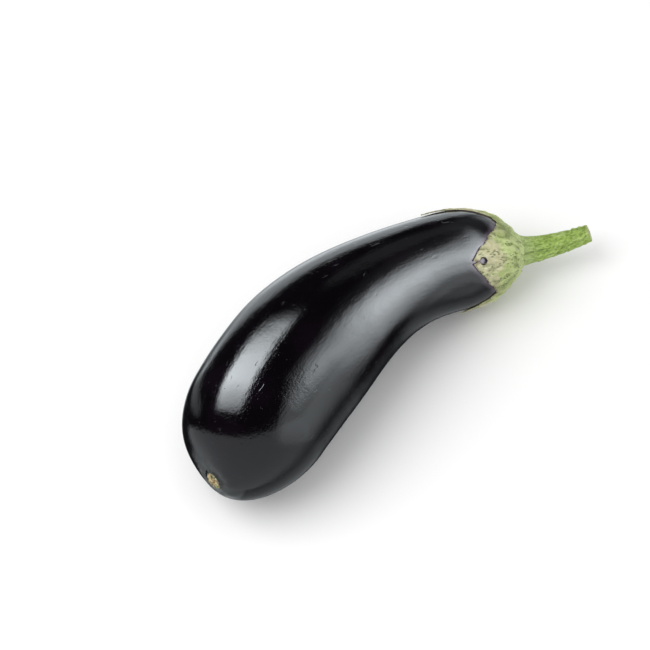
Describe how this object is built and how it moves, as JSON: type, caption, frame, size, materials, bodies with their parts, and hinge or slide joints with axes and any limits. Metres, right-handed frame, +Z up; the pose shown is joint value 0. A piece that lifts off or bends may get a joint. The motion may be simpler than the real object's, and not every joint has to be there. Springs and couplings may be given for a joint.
{
  "type": "whole eggplant",
  "caption": "Whole curved purple-black eggplant lying on its side, with a pointed-lobed green calyx and a short cut stem.",
  "frame": {"origin": "middle of the footprint of the whole eggplant, on the surface it rests on", "axes": "+Z up; +X along its length from the blossom end to the cut stem; +Y to the side its back bulges to"},
  "size_m": [0.2454, 0.0861, 0.0738],
  "materials": {
    "skin": "very glossy smooth near-black purple skin",
    "calyx": "matt wrinkled pale olive green with darker speckles",
    "stem": "satin ribbed yellow-green with darker speckles"
  },
  "bodies": {
    "root": {"fruit": "skin", "calyx": "calyx", "stem": "stem"}
  },
  "joints": []
}
